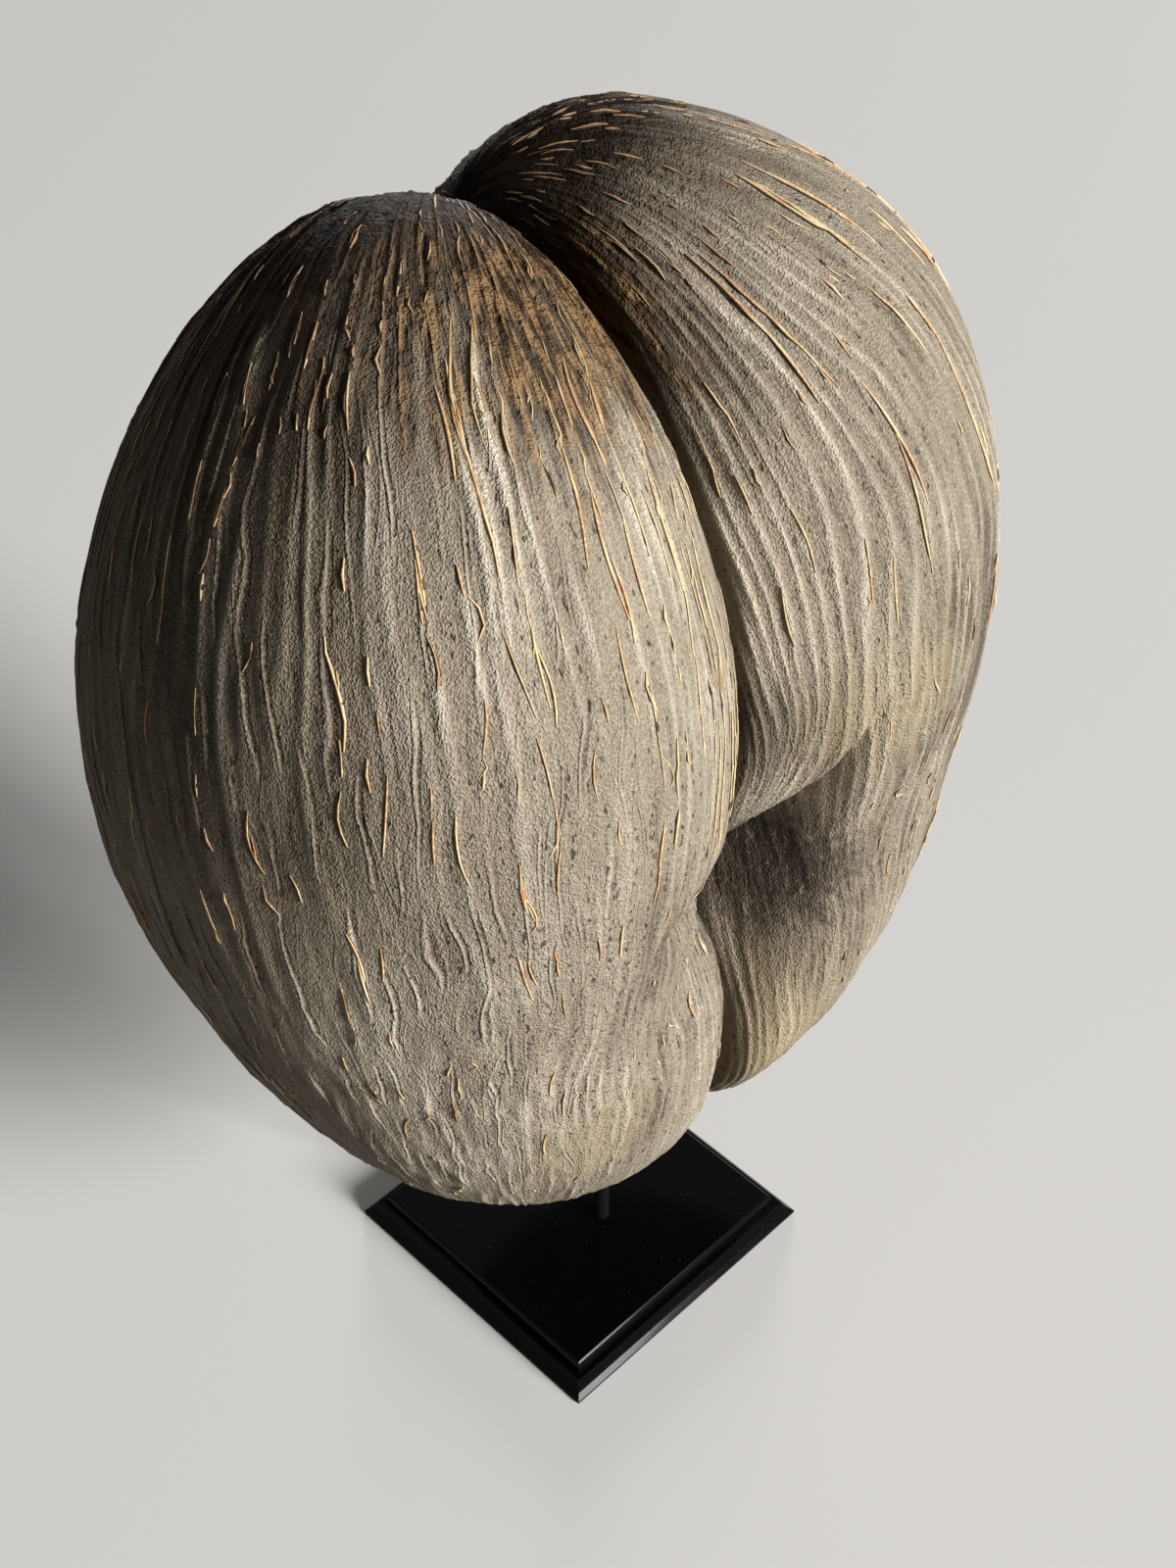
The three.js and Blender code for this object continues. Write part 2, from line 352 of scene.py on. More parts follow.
def skin_relief(grain, angle, down, point, side):
    """Height over the resting skin in millimetres, and what the paint needs to know of it."""
    first, second, share = ridge_phases(grain, angle, side)
    fade = end_fade(down) * ease(abs(point[0]), 0.3, 4)
    strength = ridge_strength(grain, point, side) * fade
    ridge = crest(first) * share + crest(second) * (1 - share)
    height = RIDGE_HEIGHT * strength * ridge
    count = wrinkle_count(grain, angle)
    offset = (count - round(count)) * WRINKLE_SPACING
    wrinkled = wrinkle_strength(count, down, point, side) * fade
    bulge = max(0, 1 - (offset / WRINKLE_WIDTH) ** 2) ** 2
    slant = offset / (1 + offset**2) * (1 - (2 * offset / WRINKLE_SPACING) ** 2)
    height += wrinkled * (WRINKLE_HEIGHT * bulge + WRINKLE_LEAN * slant)
    short = max(0, 1 - abs(waves(grain, 4.4, 16, 52.0)) / 0.3) ** 2
    short *= fade * ease(down, 0.3, 0.6) * ease(1 - down, 0.12, 0.3) * (1 if side < 0 else 0.3)
    height += SHORT_WRINKLE_HEIGHT * short
    low_calm = 0.4 + 0.6 * ease(1 - down, 0.12, 0.42)
    broad = BROAD_WAVE_HEIGHT * waves(grain, 12, 85, 28.0) * ease(down, 0.03, 0.15)
    height += (broad + NARROW_WAVE_HEIGHT * waves(grain, 5, 32, 32.0)) * low_calm
    height += LIP_LINE_HEIGHT * lip_share(point) * crest(2 * first) * end_fade(down)
    rough_top = 1 - ease(down, 0.04, 0.14)
    place = Vector(point)
    lumps, crumbs = noise.noise(place / 5.5), noise.noise(place / 3)
    height += rough_top * (LUMP_HEIGHT * lumps + CRUMB_HEIGHT * crumbs)
    return height, (first, second, share), (count, wrinkled, short), strength


def dents(point):
    """Shallow uneven dents, always inward, so that the lobes aren't mirror images."""
    place = Vector(point) / 62
    depth = DENT_DEPTH * (1 + noise.noise(place))
    return -depth - SMALL_DENT_DEPTH * (1 + noise.noise(place * 2.7))


# ------------------------------------------------------------------ small mesh helpers


def finished_piece(name, bm, smooth=True):
    """Turns a bmesh into an object in the scene."""
    mesh = bpy.data.meshes.new(name)
    bm.to_mesh(mesh)
    bm.free()
    if smooth:
        mesh.shade_smooth()
    piece = bpy.data.objects.new(name, mesh)
    bpy.context.scene.collection.objects.link(piece)
    return piece


# ------------------------------------------------------------------ the nut


def make_nut():
    """The husk, as one closed mesh that carries its grain and the counts of its ridges."""
    bm = bmesh.new()
    run = lobe_shell(bm)
    join_lobes(bm)
    refine_creases(bm, run)
    bm.normal_update()
    raise_relief(bm, run)
    bmesh.ops.scale(bm, vec=(MM, MM, MM), verts=bm.verts)
    nut = finished_piece("nut_husk", bm)
    store_grain(nut.data)
    return nut


def lobe_shell(bm):
    """Spreads a ball over the right lobe's skin; returns the layer of how its fibres run."""
    bmesh.ops.create_uvsphere(bm, u_segments=MERIDIANS, v_segments=PARALLELS, radius=1)
    ball = np.array([vert.co for vert in bm.verts])
    angle = np.arctan2(ball[:, 1], ball[:, 0])
    angle -= OUTWARD_CROWDING * np.sin(angle)
    polar = np.arccos(np.clip(ball[:, 2] / np.linalg.norm(ball, axis=1), -1, 1))
    around = np.stack([np.cos(angle), np.sin(angle)], axis=1)
    ball[:, :2] = around * np.sin(polar)[:, None]
    run = bm.verts.layers.float_vector.new("run")  # angle around, share of the way down
    for vert, place, turn, tilt in zip(bm.verts, skin_points(ball), angle, polar):
        vert.co = place
        vert[run] = (turn, tilt / math.pi, 0)
    return run


def join_lobes(bm):
    """Cuts the right lobe off at the middle plane and mirrors it, so the lobes are one there."""
    everything = bm.verts[:] + bm.edges[:] + bm.faces[:]
    bmesh.ops.bisect_plane(
        bm, geom=everything, dist=0.01, plane_co=(0, 0, 0), plane_no=(1, 0, 0), clear_inner=True
    )
    for vert in bm.verts:
        if abs(vert.co.x) < SEAM_WIDTH:
            vert.co.x = 0
    everything = bm.verts[:] + bm.edges[:] + bm.faces[:]
    bmesh.ops.mirror(bm, geom=everything, axis="X", merge_dist=MERGE_LENGTH)
    bmesh.ops.recalc_face_normals(bm, faces=bm.faces)


def raise_relief(bm, run):
    """Moves the skin to its ridges, wrinkles, dents and creases, and notes them for the paint."""
    ridges = bm.verts.layers.float_vector.new("ridges")
    wrinkles = bm.verts.layers.float_vector.new("wrinkles")
    strengths = bm.verts.layers.float.new("ridge_strength")
    for vert in bm.verts:
        turn, down, _ = vert[run]
        side = -1 if vert.co.x < 0 else 1
        turn += crease_turn(vert.co, side)
        vert[run] = (turn, down, 0)
        grain = grain_place(turn, down, side)
        relief = skin_relief(grain, turn, down, vert.co, side)
        height, vert[ridges], vert[wrinkles], vert[strengths] = relief
        move = crease_move(vert.co, side)
        vert.co += vert.normal * (height + dents(vert.co)) + move


def refine_creases(bm, run):
    """Cuts the edges that run down the lobe, in a band along each crease."""
    edges = []
    for edge in bm.edges:
        upper, lower = edge.verts
        if abs(upper[run].y - lower[run].y) < LEVEL:
            continue
        middle = (upper.co + lower.co) / 2
        side = -1 if middle.x < 0 else 1
        near = abs(below_crease(middle, side)) < CREASE_BAND and middle.y < BAND_BACK
        if near and BAND_INNER < abs(middle.x) < CREASES[side]["reach"][1]:
            edges.append(edge)
    bmesh.ops.subdivide_edges(bm, edges=edges, cuts=BAND_CUTS, use_grid_fill=True)


def store_grain(mesh):
    """Gives each face corner its grain coordinates, with the left lobe's shifted along."""
    run = np.empty(len(mesh.vertices) * 3)
    mesh.attributes["run"].data.foreach_get("vector", run)
    corner_verts = np.empty(len(mesh.loops), int)
    mesh.loops.foreach_get("vertex_index", corner_verts)
    centres = np.empty(len(mesh.polygons) * 3)
    mesh.polygons.foreach_get("center", centres)
    corner_counts = np.empty(len(mesh.polygons), int)
    mesh.polygons.foreach_get("loop_total", corner_counts)
    on_left = np.repeat(centres.reshape(-1, 3)[:, 0] < 0, corner_counts)
    angle, down, _ = run.reshape(-1, 3)[corner_verts].T
    grain = np.stack(
        [
            GRAIN_RADIUS * np.cos(angle),
            GRAIN_RADIUS * np.sin(angle),
            GRAIN_LENGTH * down + np.where(on_left, OTHER_LOBE, 0),
        ],
        axis=1,
    )
    attribute = mesh.attributes.new("grain", "FLOAT_VECTOR", "CORNER")
    attribute.data.foreach_set("vector", grain.ravel())
    mesh.attributes.remove(mesh.attributes["run"])


# ------------------------------------------------------------------ bare fibres on the husk

FIBRE_SEED = 7
FIBRE_STEP = 2.4  # millimetres from one point of a fibre to the next
FIBRE_SWERVE = 0.004  # radians that a fibre may turn aside at each step, to stay on its ridge
FIBRE_PATCH = 13  # about the size of a bare patch, in millimetres
NOTCH_PATCHES = 0.2  # down to here, as a share of the way, the patches are further apart
CLEFT_MARGIN = 4  # no fibre lies nearer to the middle plane than this
FOLDED_SKIN = 0.7  # nor where a crease draws the skin in by more than this
BED_MARGIN = 0.22  # a bed is this much wider on each side than its fibre
BED_RISE, FIBRE_RISE = -0.5, 0.45  # above the skin, as shares of the fibre's width
ALL_ROUND = (-math.pi, math.pi)

# Bare fibres come in groups: how many there are, where they start, as angles around the lobe and
# shares of the way down, their lengths and widths in millimetres, and how much they stray.
FIBRES_ON_BOTH_LOBES = (
    dict(count=340, downs=(0.12, 0.60), lengths=(3, 16), widths=(0.26, 0.37), stray=0.025),
    dict(count=220, downs=(0.16, 0.74), lengths=(2.5, 8), widths=(0.24, 0.36), stray=0.15),
    dict(count=640, downs=(0.03, 0.20), lengths=(2, 8), widths=(0.20, 0.34), stray=0.09),
    dict(count=14, downs=(0.14, 0.60), lengths=(15, 42), widths=(0.30, 0.42), stray=0.02),
)
RIGHT_SHOULDER = dict(
    angles=(-1.3, 0.1), downs=(0.10, 0.27), lengths=(8, 38), widths=(0.30, 0.42), stray=0.02
)
LEFT_SHOULDER = dict(
    angles=(-1.1, 0.0), downs=(0.14, 0.42), lengths=(3, 13), widths=(0.26, 0.37), stray=0.05
)
LEFT_TAN_PATCH = dict(
    angles=(-1.35, -0.75), downs=(0.11, 0.21), lengths=(5, 22), widths=(0.3, 0.42), stray=0.04
)
LEFT_LIP = dict(
    angles=(-1.62, -1.32), downs=(0.19, 0.34), lengths=(8, 30), widths=(0.2, 0.3), stray=0.01
)


def patch_of_fibres(angle, down, side):
    """Says whether fibres lie bare there; they come in patches, most of all by the notch."""
    ring = GRAIN_RADIUS * math.sin(down * math.pi)
    place = Vector((ring * math.cos(angle), ring * math.sin(angle), GRAIN_LENGTH * down * 0.6))
    cover = noise.noise(place / FIBRE_PATCH + Vector((9, 0, 0)) * side)
    return cover > (-0.2 if down < NOTCH_PATCHES else -0.45)


def fibre_group(rng, side, count, downs, lengths, widths, stray, angles=ALL_ROUND):
    """Chooses where the fibres of one group start and how they run."""
    group = []
    for _ in range(count):
        group.append(
            dict(
                side=side,
                angle=rng.uniform(*angles),
                down=rng.uniform(*downs),
                length=lengths[0] + (lengths[1] - lengths[0]) * rng.random() ** 1.5,
                width=rng.uniform(*widths),
                skew=rng.gauss(0, stray),
                bend=rng.gauss(0, stray),
            )
        )
    return [fibre for fibre in group if patch_of_fibres(fibre["angle"], fibre["down"], side)]


def angle_on_crest(angle, down, side):
    """The angle of the ridge nearest to that one, because bare fibres lie along ridges."""
    target = None
    for _ in range(4):
        grain = grain_place(angle, down, side)
        first, second, share = ridge_phases(grain, angle, side)
        phase, lines = first, RIDGE_LINES[side]
        if share < 0.5:
            phase, lines = second, RIDGE_LINES[side] * FORKING
        if target is None:
            target = round(phase)
        angle += (target - phase) * math.tau / lines
    return angle


def fibre_paths(plan, husk):
    """Runs each fibre over the finished husk; returns their points in millimetres and normals."""
    places = []
    for fibre in plan:
        steps = max(2, round(fibre["length"] / FIBRE_STEP))
        angle = angle_on_crest(fibre["angle"], fibre["down"], fibre["side"])
        fibre["points"] = steps + 1
        for i in range(steps + 1):
            share = i / steps
            down = min(max(fibre["down"] + share * fibre["length"] / GRAIN_LENGTH, 0.01), 0.98)
            crest_angle = angle_on_crest(angle, down, fibre["side"])
            angle += min(max(crest_angle - angle, -FIBRE_SWERVE), FIBRE_SWERVE)
            slide = fibre["skew"] * share + fibre["bend"] * math.sin(share * math.pi)
            places.append((angle + slide * fibre["length"] / GRAIN_RADIUS, down, fibre["side"]))
    angles, downs, sides = np.array(places).T
    ball = np.stack(
        [
            np.cos(angles) * np.sin(downs * math.pi),
            np.sin(angles) * np.sin(downs * math.pi),
            np.cos(downs * math.pi),
        ],
        axis=1,
    )
    points = skin_points(ball)
    normals = skin_normals(points)
    points[:, 0] *= sides
    normals[:, 0] *= sides
    corners = [vert.co / MM for vert in husk.data.vertices]
    tree = BVHTree.FromPolygons(corners, [face.vertices[:] for face in husk.data.polygons])
    for i, (angle, down, side) in enumerate(places):
        place, move = Vector(points[i]), crease_move(points[i], side)
        if move.length > FOLDED_SKIN:
            points[i] = math.nan  # fibre_strips leaves out a fibre with such a point
            continue
        grain = grain_place(angle, down, side)
        height = skin_relief(grain, angle, down, place, side)[0]
        place += Vector(normals[i]) * (height + dents(place)) + move
        points[i] = tree.find_nearest(place)[0]
    return points, normals


def fibre_strips(name, plan, points, normals, widen, rise):
    """Four-sided strands along the fibres, wider by widen and set over the skin by rise."""
    curve = bpy.data.curves.new(name, "CURVE")
    curve.dimensions = "3D"
    curve.bevel_depth = MM
    curve.bevel_resolution = 0
    curve.use_fill_caps = True
    start = 0
    for fibre in plan:
        end = start + fibre["points"]
        path = points[start:end] + normals[start:end] * rise * fibre["width"]
        start = end
        if np.isnan(path).any() or np.abs(path[:, 0]).min() < CLEFT_MARGIN:
            continue
        spline = curve.splines.new("POLY")
        spline.points.add(len(path) - 1)
        last = len(path) - 1
        for i, place in enumerate(path):
            taper = min(1, 0.4 + 2.4 * min(i, last - i) / last)
            taper *= 1 + 0.5 * noise.noise(place / 2.5)
            spline.points[i].co = (*(place * MM), 1)
            spline.points[i].radius = (fibre["width"] + widen) * taper
    holder = bpy.data.objects.new(name + "_path", curve)
    mesh = bpy.data.meshes.new_from_object(holder)
    bpy.data.objects.remove(holder)
    bpy.data.curves.remove(curve)
    mesh.name = name
    mesh.shade_smooth()
    strips = bpy.data.objects.new(name, mesh)
    bpy.context.scene.collection.objects.link(strips)
    return strips


def make_fibres(husk):
    """The bare fibres, and the dark beds that they lie in: partly torn skin and partly a painted
    shadow along each fibre.
    """
    rng = random.Random(FIBRE_SEED)
    plan = []
    for side in (-1, 1):
        for group in FIBRES_ON_BOTH_LOBES:
            plan += fibre_group(rng, side, **group)
    plan += fibre_group(rng, 1, 22, **RIGHT_SHOULDER)
    plan += fibre_group(rng, -1, 60, **LEFT_SHOULDER)
    plan += fibre_group(rng, -1, 28, **LEFT_TAN_PATCH)
    plan += fibre_group(rng, -1, 70, **LEFT_LIP)
    points, normals = fibre_paths(plan, husk)
    beds = fibre_strips("fibre_shadow_beds", plan, points, normals, BED_MARGIN, BED_RISE)
    strands = fibre_strips("bare_fibres", plan, points, normals, 0.0, FIBRE_RISE)
    return beds, strands


# ------------------------------------------------------------------ materials


class Wire:
    """A node's output that adds Math nodes when it is used in arithmetic."""

    def __init__(self, paint, socket):
        self.paint = paint
        self.socket = socket

    def maths(self, operation, *values):
        return self.paint.node("Math", dict(operation=operation), dict(enumerate(values)))

    def __add__(self, other):
        return self.maths("ADD", self, other)

    def __radd__(self, other):
        return self.maths("ADD", other, self)

    def __sub__(self, other):
        return self.maths("SUBTRACT", self, other)

    def __rsub__(self, other):
        return self.maths("SUBTRACT", other, self)

    def __mul__(self, other):
        return self.maths("MULTIPLY", self, other)

    def __rmul__(self, other):
        return self.maths("MULTIPLY", other, self)

    def __pow__(self, other):
        return self.maths("POWER", self, other)

    def __rpow__(self, other):
        return self.maths("POWER", other, self)

    def __abs__(self):
        return self.maths("ABSOLUTE", self)

    def crest(self):
        """1 where the count of ridges is a whole number, 0 halfway to the next."""
        wave = self.maths("COSINE", self * math.tau)
        return (wave * 0.5 + 0.5) ** 3

    def step(self, low, high):
        """0 at low and 1 at high, smooth between."""
        values = {0: self, 1: low, 2: high}
        return self.paint.node("MapRange", dict(interpolation_type="SMOOTHSTEP"), values)


class Paint:
    """The nodes of one material, or of the world."""

    def __init__(self, owner):
        owner.use_nodes = True
        self.owner = owner
        self.tree = owner.node_tree

    def node(self, kind, settings=None, values=None, output=0):
        """Adds a node of that type, with its settings first and then its sockets."""
        made = self.tree.nodes.new("ShaderNode" + kind)
        for name, value in (settings or {}).items():
            setattr(made, name, value)
        for key, value in (values or {}).items():
            self.put(made.inputs[key], value)
        return Wire(self, made.outputs[output])

    def put(self, socket, value):
        if isinstance(value, Wire):
            self.tree.links.new(value.socket, socket)
        else:
            socket.default_value = value

    def finish(self, **values):
        """Sets the shader's own sockets, with _ for a space in their names."""
        shader = self.tree.nodes["Principled BSDF"]
        for name, value in values.items():
            self.put(shader.inputs[name.replace("_", " ")], value)
        return self.owner

    def attribute(self, name, output):
        return self.node("Attribute", dict(attribute_name=name), None, output)

    def parts(self, vector):
        """The three numbers in a vector."""
        whole = self.node("SeparateXYZ", None, {0: vector})
        return [Wire(self, socket) for socket in whole.socket.node.outputs]

    def millimetres(self):
        """Object coordinates in millimetres."""
        return self.scaled(self.node("TexCoord", None, None, "Object"), (1000, 1000, 1000))

    def distance(self, vector, centre):
        return self.node("VectorMath", dict(operation="DISTANCE"), {0: vector, 1: centre}, 1)

    def mix(self, share, first, second):
        values = {0: share, 6: first, 7: second}
        return self.node("Mix", dict(data_type="RGBA"), values, output=2)

    def scaled(self, vector, factors, shift=(0, 0, 0)):
        values = {0: vector, 1: factors, 2: shift}
        return self.node("VectorMath", dict(operation="MULTIPLY_ADD"), values)

    def noise(self, vector, detail=2.0, roughness=0.5):
        values = {"Vector": vector, "Scale": 1.0, "Detail": detail, "Roughness": roughness}
        return self.node("TexNoise", None, values)

    def bump(self, height_mm):
        return self.node("Bump", None, {"Height": height_mm, "Distance": MM, "Strength": 1.0})

    def seen(self):
        """1 for what the camera, gloss and glass show, and 0 for light on its way."""
        share = self.node("LightPath", None, None, "Is Camera Ray")
        for ray in ("Is Glossy Ray", "Is Transmission Ray"):
            share = share.maths("MAXIMUM", share, self.node("LightPath", None, None, ray))
        return share


def shade(red, green, blue):
    """A colour from its 0 to 255 screen values."""
    parts = []
    for part in (red, green, blue):
        share = part / 255
        parts.append(share / 12.92 if share <= 0.04045 else ((share + 0.055) / 1.055) ** 2.4)
    return (*parts, 1.0)


# ------------------------------------------------------------------ the husk's material
# Spots are places on the husk in millimetres. A fade gives how far from its spot a patch starts and
# how far it is full.

NOTCH = (-12, 48, 368)  # the top notch, where the husk is dark and crusted and is painted darker still as shade
TAN_SPOT = (-26, -16, 356)  # torn tan fibres on the left lobe's top
WEB_SPOT = (26, -54, 182)  # below the right lobe's crease
BLEMISHED = (-50, -72, 215)  # where the left lobe has the most pits

# Broad patches that are paler, or darker where the amount is negative.
TONE_PATCHES = (
    # spot, fade, amount
    ((-52, -68, 292), (88, 25), 0.25),
    ((-84, -58, 205), (75, 25), 0.16),
    # painted shade: the left lobe's outer flank and back, turned away from the key lamp, are
    # darkened
    ((-92, 45, 310), (100, 40), -0.28),
    ((66, -68, 248), (48, 15), -0.2),
    ((-61, -73, 223), (45, 12), -0.14),
    ((-102, -48, 216), (42, 10), 0.13),
    ((31, -67, 162), (30, 8), -0.1),
    ((6, -32, 326), (28, 8), -0.3),
)

GROOVE = shade(90, 79, 65)
HUSK = shade(146, 134, 116)
PALE_HUSK = shade(192, 181, 162)
PALE_GRAIN = shade(210, 200, 182)
DARK_GRAIN = shade(70, 59, 48)
CRUMBS = shade(226, 216, 190)
# the crust by the top notch: its own dark brown, made darker by painted shade where the top turns
# away from the lamp
CRUST_AND_SHADE = shade(30, 20, 14)
BARE_HUSK = shade(150, 137, 119)
DARK_FIBRE = shade(56, 44, 33)
TAN_FIBRE = shade(146, 115, 80)
# painted shade on the underside of the right lobe's bulge, just above its crease
FOLD_UNDERSIDE_SHADE = shade(66, 53, 42)
RUBBED = shade(180, 162, 130)
# in the pocket below the right lobe's crease: a little dirt, and mostly painted shade where the
# rim's shadow falls
POCKET_DIRT_AND_SHADE = shade(32, 26, 20)
STAIN = shade(54, 46, 41)
# pale tan low on the lobes: partly the husk's own tan, and partly painted light where the lower
# parts are lit more brightly
PALE_TAN_AND_LIGHT = shade(176, 156, 122)
WEB = shade(150, 134, 112)
PIT = shade(38, 30, 24)


class HuskPaint(Paint):
    """The husk's material, whose patterns follow the grain and the mesh's own ridges."""

    def __init__(self):
        super().__init__(bpy.data.materials.new("husk"))
        self.place = self.millimetres()
        self.grain = self.attribute("grain", "Vector")
        self.read_relief()
        self.make_patterns()

    def streaks(self, width, length, shift, detail):
        """Noise drawn out along the fibres; width and length in millimetres."""
        factors = (1 / width, 1 / width, 1 / length)
        return self.noise(self.scaled(self.grain, factors, (shift, -shift, shift)), detail)

    def from_spot(self, spot, ragged=None):
        """Millimetres from a spot, with an uneven edge where ragged is given."""
        length = self.distance(self.place, spot)
        return length if ragged is None else length + ragged

    def read_relief(self):
        """The ridges and wrinkles of the mesh, from the counts that it carries."""
        first, second, share = self.parts(self.attribute("ridges", "Vector"))
        ridge = first.crest() * share + second.crest() * (1 - share)
        self.rise = ridge * self.attribute("ridge_strength", "Fac")
        self.groove = (first + 0.5).crest() * share + (second + 0.5).crest() * (1 - share)
        count, wrinkled, self.short = self.parts(self.attribute("wrinkles", "Vector"))
        offset = (count - count.maths("ROUND", count)) * WRINKLE_SPACING
        self.line = abs(offset).step(0.36, 0.04) * wrinkled
        # the lower side of each wrinkle: a real hollow in the mesh, also darkened in colour as a
        # painted shadow
        self.shaded_hollow = abs(offset + 0.55).step(0.42, 0.05) * wrinkled

    def make_patterns(self):
        """Noises on the husk, from large to small, and the masks that the colour and bump share."""
        self.clouds = self.noise(self.scaled(self.place, (0.02, 0.02, 0.016)), 3.0, 0.55)
        self.crust = self.noise(self.scaled(self.place, (0.3, 0.3, 0.3)), 3.0, 0.6)
        self.grit = self.noise(self.scaled(self.place, (0.42, 0.42, 0.3)), 2.0)
        self.frost = self.noise(self.scaled(self.place, (2.0, 2.0, 1.5)), 1.0, 0.5)
        self.bands = self.streaks(9, 90, 11.0, 2.0)
        self.shreds = self.streaks(2.4, 17, 47.0, 2.0)
        self.tattered = self.streaks(1.5, 8, 61.0, 3.0)
        self.lines = self.streaks(1.2, 16, 5.0, 1.0)
        veins = self.streaks(3.6, 24, 71.0, 0.0)
        self.vein = abs(veins - 0.5).step(0.03, 0.0) * self.bands.step(0.42, 0.56)
        edge = (self.bands - 0.5) * 60 + (self.shreds - 0.5) * 60
        self.from_notch = self.from_spot(NOTCH, edge)
        edge = (self.bands - 0.5) * 40 + (self.shreds - 0.5) * 50
        self.tan = self.from_spot(TAN_SPOT, edge).step(46, 18)
        self.web = self.make_web()
        pores = self.streaks(0.6, 1.5, 31.0, 0.0)
        easier = self.from_spot(BLEMISHED).step(85, 40) * 0.08
        self.pit = (pores - easier).step(0.33, 0.22) * self.groove

    def make_web(self):
        """Fine pale cracks below the right lobe's crease."""
        bent = self.scaled(self.grit, (0.9, -0.9, 0.7))
        cells = self.scaled(self.place, (0.26, 0.26, 0.13), bent)
        settings = dict(feature="DISTANCE_TO_EDGE")
        cracks = self.node("TexVoronoi", settings, {"Vector": cells, "Scale": 1.0}).step(0.07, 0.0)
        return cracks * self.tattered.step(0.42, 0.62) * self.from_spot(WEB_SPOT).step(42, 20)

    def tone(self):
        """How pale the husk is: 0 in the grooves, about 1 on the palest ridges."""
        tone = 0.39 + self.rise * 0.6 + self.line * 0.15 - self.shaded_hollow * 0.4 + self.short * 0.15
        tone = tone + (self.lines - 0.5) * 0.5 + (self.bands - 0.5) * 0.9
        tone = tone + (self.clouds - 0.5) * 0.8 + (self.grit - 0.5) * 0.3
        for spot, fade, amount in TONE_PATCHES:
            tone = tone + self.from_spot(spot).step(*fade) * amount
        return tone

    def bare_colour(self):
        """The husk's colour before its patches: ridges, grooves, fine grain and pale crumbs."""
        tone, frost = self.tone(), self.frost
        colour = self.mix(tone.step(0.0, 0.55), GROOVE, HUSK)
        colour = self.mix(tone.step(0.5, 1.1), colour, PALE_HUSK)
        colour = self.mix(frost.step(0.50, 0.72) * 0.3, colour, PALE_GRAIN)
        colour = self.mix(frost.step(0.50, 0.28) * 0.3, colour, DARK_GRAIN)
        crumbs = frost.step(0.52, 0.6) * (self.rise * 0.8 + self.line) * self.bands.step(0.5, 0.62)
        return self.mix(crumbs * 0.7, colour, CRUMBS)

    def colour(self):
        bands, grit = self.bands - 0.5, self.grit - 0.5
        shreds, tattered = self.shreds - 0.5, self.tattered - 0.5
        fibrous = self.mix(self.tattered.step(0.42, 0.60), DARK_FIBRE, TAN_FIBRE)
        masks = (
            # where, how strong, colour
            # dark crust by the notch, partly painted shade
            (self.from_notch.step(102, 52), 0.96, CRUST_AND_SHADE),
            (self.from_spot((31, -13, 360), shreds * 30).step(32, 10), 0.4, BARE_HUSK),
            (self.from_spot((-52, 0, 362), shreds * 30).step(28, 8), 0.3, BARE_HUSK),
            (self.tan, 0.8, fibrous),
            # painted shade under the right lobe's bulge
            (self.from_spot((8, -61, 246), bands * 16).step(28, 8), 0.6, FOLD_UNDERSIDE_SHADE),
            (self.from_spot((34, -72, 247), shreds * 30).step(34, 6), 0.45, RUBBED),
            # a little dirt and mostly painted shade deep in the pocket under the crease
            (self.from_spot((13, -41, 187), grit * 16 + bands * 14).step(36, 12), 0.75, POCKET_DIRT_AND_SHADE),
            (self.from_spot((29, -58, 185), grit * 22).step(23, 5), 0.7, STAIN),
            # partly the husk's tan and partly painted light, low on the thigh and the left lobe
            (self.from_spot((13, -58, 134), tattered * 30).step(38, 8), 0.35, PALE_TAN_AND_LIGHT),
            (self.from_spot((12, -58, 120), tattered * 30).step(26, 8), 0.35, PALE_TAN_AND_LIGHT),
            (self.from_spot((-60, -68, 154), tattered * 30).step(26, 8), 0.35, PALE_TAN_AND_LIGHT),
            (self.web, 0.5, WEB),
            (self.pit, 0.8, PIT),
        )
        colour = self.bare_colour()
        for mask, strength, over in masks:
            colour = self.mix(mask * strength, colour, over)
        return colour

    def fine_height(self):
        """Relief finer than the mesh, in millimetres."""
        crust = self.crust - 0.5
        height = (self.lines - 0.5) * 0.4 + (self.frost - 0.5) * 0.75 + (self.grit - 0.5) * 0.6
        height = height + self.rise * 0.3 + self.line * 0.5 + self.short * 0.2 + self.vein * 0.22
        height = height - self.shaded_hollow * 0.3 - self.pit * 0.3 + self.web * 0.2
        height = height + crust * self.from_notch.step(90, 40) * 3.0
        return height + (self.tattered.step(0.38, 0.64) * 0.7 + crust * 2.0) * self.tan


def husk_paint():
    paint = HuskPaint()
    return paint.finish(
        Base_Color=paint.colour(),
        Roughness=0.7 + (paint.frost - 0.5) * 0.3,
        Specular_IOR_Level=0.05,
        Normal=paint.bump(paint.fine_height()),
    )


# ------------------------------------------------------------------ the other materials

STRAW_SPOT = (-14, -64, 285)  # the fibres on the left lip of the cleft are straw-coloured


